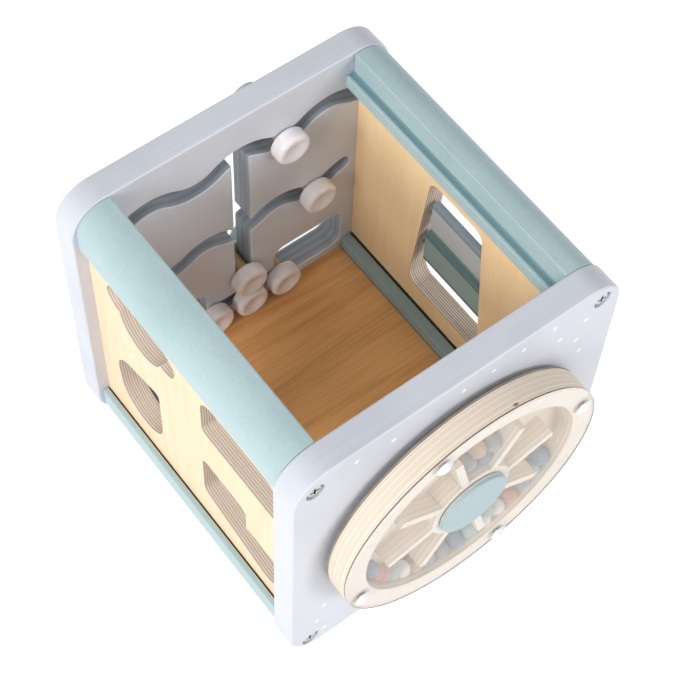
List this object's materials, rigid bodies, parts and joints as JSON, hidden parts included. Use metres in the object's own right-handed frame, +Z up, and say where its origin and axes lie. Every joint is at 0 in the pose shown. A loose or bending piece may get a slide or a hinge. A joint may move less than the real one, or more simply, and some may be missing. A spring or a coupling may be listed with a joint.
{
  "type": "wooden activity cube",
  "caption": "Wooden activity cube with an open top, a spinning bead wheel, a sliding-knob maze, a shape-sorter wall and a window with turning boards.",
  "frame": {"origin": "on the ground under the middle of the cube, halfway between the wheel's face and the knobs' ends", "axes": "+Z up, -Y towards the bead wheel, +Y towards the knob maze, +X towards the window with the turning boards"},
  "size_m": [0.2, 0.243, 0.204],
  "materials": {
    "panel_paint": "smooth pale grey-blue satin paint on wood",
    "rail_paint": "smooth mint-blue satin paint on wood",
    "floor_wood": "sanded brown wood with its grain along the cube's width",
    "side_ply": "sanded birch plywood with layered edges",
    "steel": "plated steel",
    "wheel_wood": "sanded pale birch plywood",
    "white_plastic": "smooth white plastic",
    "clear_cover": "clear plastic sheet with a faint haze",
    "cap_paint": "smooth mint-blue satin paint on wood",
    "bead_blue": "satin paint on a wooden bead",
    "bead_rose": "satin paint on a wooden bead",
    "bead_mint": "satin paint on a wooden bead",
    "bead_white": "satin paint on a wooden bead",
    "bead_grey": "satin paint on a wooden bead",
    "bead_tan": "bare turned wooden bead",
    "board_grey": "satin grey paint on a thin board",
    "board_teal": "satin teal paint on a thin board",
    "knob_paint": "satin mint paint on turned wood",
    "shaft_wood": "bare turned wood",
    "disc_white": "smooth milky white paint on turned wood"
  },
  "bodies": {
    "cube": {"front_panel": "panel_paint", "rear_panel": "panel_paint", "top_left_rail": "rail_paint", "top_right_rail": "rail_paint", "bottom_left_rail": "rail_paint", "bottom_right_rail": "rail_paint", "floor_panel": "floor_wood", "shape_sorter_panel": "side_ply", "window_panel": "side_ply", "front_screws": "steel", "rear_screws": "steel", "wheel_bolt": "steel", "wheel_spacer": "white_plastic", "wheel_washer": "steel", "wheel_nut": "steel"},
    "wheel": {"wheel_back_plate": "wheel_wood", "wheel_ring": "wheel_wood", "wheel_hub": "wheel_wood", "wheel_spokes": "wheel_wood", "wheel_cover": "clear_cover", "hub_cap": "cap_paint", "cover_rivets": "white_plastic", "beads_blue": "bead_blue", "beads_rose": "bead_rose", "beads_mint": "bead_mint", "beads_white": "bead_white", "beads_grey": "bead_grey", "beads_tan": "bead_tan"},
    "upper_board": {"upper_board": "board_grey", "upper_board_pins": "steel"},
    "lower_board": {"lower_board": "board_teal", "lower_board_pins": "steel"},
    "top_wave": {"top_wave_knob": "knob_paint", "top_wave_shaft": "shaft_wood", "top_wave_disc": "disc_white"},
    "mid_wave": {"mid_wave_knob": "knob_paint", "mid_wave_shaft": "shaft_wood", "mid_wave_disc": "disc_white"},
    "trunk_upper": {"trunk_upper_knob": "knob_paint", "trunk_upper_shaft": "shaft_wood", "trunk_upper_disc": "disc_white"},
    "trunk_lower": {"trunk_lower_knob": "knob_paint", "trunk_lower_shaft": "shaft_wood", "trunk_lower_disc": "disc_white"},
    "right_bay": {"right_bay_knob": "knob_paint", "right_bay_shaft": "shaft_wood", "right_bay_disc": "disc_white"},
    "left_bay": {"left_bay_knob": "knob_paint", "left_bay_shaft": "shaft_wood", "left_bay_disc": "disc_white"}
  },
  "joints": [
    {"name": "wheel_spin", "type": "hinge", "parent": "cube", "child": "wheel", "pos_m": [0, -0.1, 0.104], "axis": [0, 1, 0], "continuous": true},
    {"name": "upper_board_turn", "type": "hinge", "parent": "cube", "child": "upper_board", "pos_m": [0.08625, 0, 0.11975], "axis": [0, 1, 0], "continuous": true},
    {"name": "lower_board_turn", "type": "hinge", "parent": "cube", "child": "lower_board", "pos_m": [0.08625, 0, 0.08825], "axis": [0, 1, 0], "continuous": true},
    {"name": "top_wave_swing", "type": "hinge", "parent": "cube", "child": "top_wave", "pos_m": [0.0309, 0.092, 0.19028], "axis": [0, -1, 0], "range_deg": [-15, 31]},
    {"name": "mid_wave_swing", "type": "hinge", "parent": "cube", "child": "mid_wave", "pos_m": [0.0504, 0.092, 0.12532], "axis": [0, -1, 0], "range_deg": [-28, 28]},
    {"name": "trunk_lower_lift", "type": "slide", "parent": "cube", "child": "trunk_lower", "axis": [0, 0, 1], "range_m": [0, 0.112]},
    {"name": "trunk_upper_lift", "type": "slide", "parent": "cube", "child": "trunk_upper", "axis": [0, 0, 1], "range_m": [0, 0.112]},
    {"name": "right_bay_slide", "type": "slide", "parent": "cube", "child": "right_bay", "axis": [1, 0, 0], "range_m": [0, 0.035]},
    {"name": "left_bay_slide", "type": "slide", "parent": "cube", "child": "left_bay", "axis": [-1, 0, 0], "range_m": [0, 0.04]}
  ],
  "couplings": [
    {"joint": "trunk_upper_lift", "follows": "trunk_lower_lift", "ratio": 1}
  ]
}
